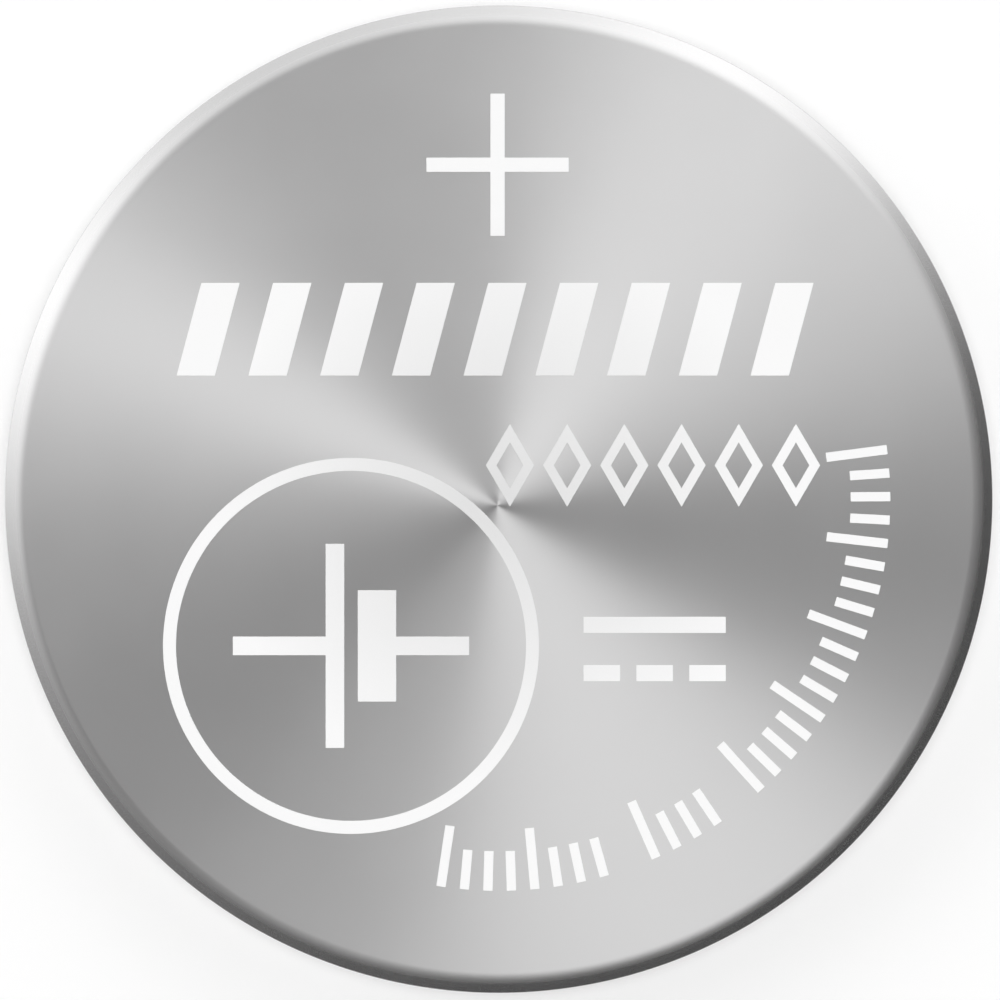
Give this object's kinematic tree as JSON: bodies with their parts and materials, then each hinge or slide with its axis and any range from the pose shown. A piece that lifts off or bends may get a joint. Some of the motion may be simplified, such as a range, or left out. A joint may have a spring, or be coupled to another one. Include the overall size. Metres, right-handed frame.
{
  "type": "lithium coin cell",
  "caption": "Flat round lithium coin cell: a drawn steel can crimped over a sealing ring and a stepped cap, with anode, separator, cathode pellet and collector sealed inside.",
  "frame": {"origin": "centre of the negative face, on the surface that the cell rests on", "axes": "+Z along the cell's axis, from the negative face to the positive face; +Y points up across the marks on the positive face"},
  "size_m": [0.016, 0.016, 0.0016],
  "materials": {
    "can_steel": "stainless, fine circular grain, satin",
    "cap_steel": "stainless, pressed, satin",
    "gasket_plastic": "moulded polypropylene, dark",
    "lithium": "rolled lithium foil, dull",
    "separator_cloth": "non-woven cloth",
    "cathode_mix": "pressed powder, matte",
    "collector_steel": "perforated sheet",
    "face_print": "marks printed in frosted white on the positive face"
  },
  "bodies": {
    "root": {"positive_can": "can_steel", "negative_cap": "cap_steel", "gasket": "gasket_plastic", "lithium_anode": "lithium", "separator": "separator_cloth", "cathode_pellet": "cathode_mix", "cathode_collector": "collector_steel"}
  },
  "joints": []
}
